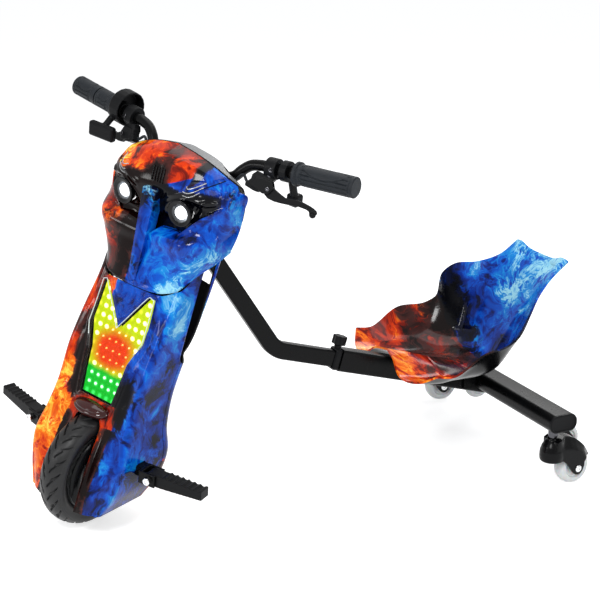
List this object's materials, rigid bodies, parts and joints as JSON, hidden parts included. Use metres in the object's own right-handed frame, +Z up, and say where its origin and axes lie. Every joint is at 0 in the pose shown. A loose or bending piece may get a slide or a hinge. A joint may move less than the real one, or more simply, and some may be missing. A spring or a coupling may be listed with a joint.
{
  "type": "three-wheel drift scooter",
  "caption": "Child's electric drift trike with a steered front wheel under a moulded fairing, a low bucket seat and swivel casters under a rear crossbar.",
  "frame": {"origin": "middle of the bounding box's underside, at the ground", "axes": "+Y to the rear, -Y the way it drives, +X to the rider's left, +Z up"},
  "size_m": [0.5466, 0.9836, 0.6949],
  "materials": {
    "black_paint": "satin black paint",
    "black_plastic": "moulded black plastic",
    "rubber": "black rubber",
    "tyre": "solid black tyre",
    "steel": "zinc-plated steel",
    "print": "glossy printed shell, flames on one side and blue smoke on the other",
    "print_fire": "glossy printed shell, mostly orange",
    "clear": "clear moulded lens",
    "lamp": "lamp board with coloured LEDs",
    "lamp_white": "white LED dome",
    "reflector": "metallised reflector",
    "urethane": "frosted polyurethane",
    "grey_panel": "pale grey moulded plastic",
    "battery_wrap": "shrink-wrapped cell pack",
    "aluminium": "cast aluminium"
  },
  "bodies": {
    "frame": {"front_frame": "black_paint"},
    "steering": {"fork": "black_paint", "lower_headset_bearing": "steel", "upper_headset_bearing": "steel", "handlebar_stem": "aluminium", "battery": "battery_wrap", "controller": "aluminium", "handlebar": "black_paint", "left_grip": "rubber", "right_grip": "rubber", "throttle_housing": "black_plastic", "left_brake_perch": "black_plastic", "right_brake_perch": "black_plastic", "left_brake_cable": "rubber", "right_brake_cable": "rubber", "switch_block": "black_plastic", "front_fairing": "print", "rear_fairing": "print_fire", "lamp_lens": "clear", "lamp_board": "lamp", "head_cowl": "print", "dash_panel": "grey_panel", "left_headlight_bowl": "reflector", "right_headlight_bowl": "reflector", "left_headlight_led": "lamp_white", "right_headlight_led": "lamp_white", "left_peg_bracket": "black_paint", "right_peg_bracket": "black_paint", "front_axle": "steel", "left_axle_nut": "steel", "right_axle_nut": "steel"},
    "front_wheel": {"front_tyre": "tyre", "hub_motor": "aluminium", "left_hub_cover": "black_plastic", "right_hub_cover": "black_plastic"},
    "throttle": {"twist_throttle": "rubber"},
    "left_brake": {"left_brake_lever": "black_plastic"},
    "right_brake": {"right_brake_lever": "black_plastic"},
    "horn": {"horn_button": "print_fire"},
    "left_peg": {"left_foot_peg": "black_plastic"},
    "right_peg": {"right_foot_peg": "black_plastic"},
    "rear": {"rear_frame": "black_paint", "sleeve_collar": "black_plastic", "left_end_cap": "black_plastic", "right_end_cap": "black_plastic", "seat_shell": "print", "seat_bracket": "black_paint", "left_caster_stem": "steel", "right_caster_stem": "steel", "left_roller_bracket": "black_paint", "right_roller_bracket": "black_paint"},
    "knob": {"lock_knob": "black_plastic"},
    "left_caster": {"left_caster_hood": "black_plastic"},
    "right_caster": {"right_caster_hood": "black_plastic"},
    "left_caster_roll": {"left_caster_wheel": "urethane"},
    "right_caster_roll": {"right_caster_wheel": "urethane"},
    "left_rear_roller": {"left_roller": "urethane"},
    "right_rear_roller": {"right_roller": "urethane"}
  },
  "joints": [
    {"name": "steering_turn", "type": "hinge", "parent": "frame", "child": "steering", "pos_m": [0.01701, -0.39845, 0.0992], "axis": [0, 0.342, 0.9397], "range_deg": [-65, 12]},
    {"name": "front_wheel_roll", "type": "hinge", "parent": "steering", "child": "front_wheel", "pos_m": [0.01701, -0.39845, 0.0992], "axis": [0.8902, 0.4281, -0.1558], "continuous": true},
    {"name": "throttle_twist", "type": "hinge", "parent": "steering", "child": "throttle", "pos_m": [-0.16988, -0.26113, 0.65511], "axis": [-0.9211, -0.3184, 0.2239], "range_deg": [0, 60], "stiffness_Nm_per_rad": 0.15, "springref_deg": -17.19},
    {"name": "left_brake_pull", "type": "hinge", "parent": "steering", "child": "left_brake", "pos_m": [0.14315, -0.12878, 0.56603], "axis": [0.5346, -0.8441, 0.0415], "range_deg": [0, 22], "stiffness_Nm_per_rad": 0.8, "springref_deg": -11.46},
    {"name": "right_brake_pull", "type": "hinge", "parent": "steering", "child": "right_brake", "pos_m": [-0.13281, -0.26148, 0.61433], "axis": [-0.3421, 0.9367, -0.0752], "range_deg": [0, 22], "stiffness_Nm_per_rad": 0.8, "springref_deg": -11.46},
    {"name": "horn_press", "type": "slide", "parent": "steering", "child": "horn", "axis": [0.4281, -0.9031, -0.0353], "range_m": [0, 0.0015], "stiffness_N_per_m": 600, "springref_m": -0.001},
    {"name": "left_peg_fold", "type": "hinge", "parent": "steering", "child": "left_peg", "pos_m": [0.13705, -0.33221, 0.11537], "axis": [0.5671, -0.8214, -0.0601], "range_deg": [0, 90]},
    {"name": "right_peg_fold", "type": "hinge", "parent": "steering", "child": "right_peg", "pos_m": [-0.09921, -0.44582, 0.15672], "axis": [-0.2776, 0.9606, 0.0095], "range_deg": [0, 90]},
    {"name": "frame_length", "type": "slide", "parent": "frame", "child": "rear", "axis": [0, 0.9569, -0.2905], "range_m": [-0.03, 0.09]},
    {"name": "knob_turn", "type": "hinge", "parent": "rear", "child": "knob", "pos_m": [0.01701, 0.06306, 0.23975], "axis": [0, 0.2905, 0.9569], "range_deg": [0, 360]},
    {"name": "left_caster_swivel", "type": "hinge", "parent": "rear", "child": "left_caster", "pos_m": [0.24251, 0.36705, 0.0762], "axis": [0, 0, 1], "continuous": true},
    {"name": "right_caster_swivel", "type": "hinge", "parent": "rear", "child": "right_caster", "pos_m": [-0.20849, 0.36705, 0.0762], "axis": [0, 0, 1], "continuous": true},
    {"name": "left_caster_wheel_roll", "type": "hinge", "parent": "left_caster", "child": "left_caster_roll", "pos_m": [0.23985, 0.41057, 0.0315], "axis": [0.9981, 0.061, 0], "continuous": true},
    {"name": "right_caster_wheel_roll", "type": "hinge", "parent": "right_caster", "child": "right_caster_roll", "pos_m": [-0.2031, 0.41031, 0.0315], "axis": [0.9923, -0.1236, 0], "continuous": true},
    {"name": "left_roller_roll", "type": "hinge", "parent": "rear", "child": "left_rear_roller", "pos_m": [0.16451, 0.45055, 0.0482], "axis": [1, 0, 0], "continuous": true},
    {"name": "right_roller_roll", "type": "hinge", "parent": "rear", "child": "right_rear_roller", "pos_m": [-0.13049, 0.45055, 0.0482], "axis": [1, 0, 0], "continuous": true}
  ]
}
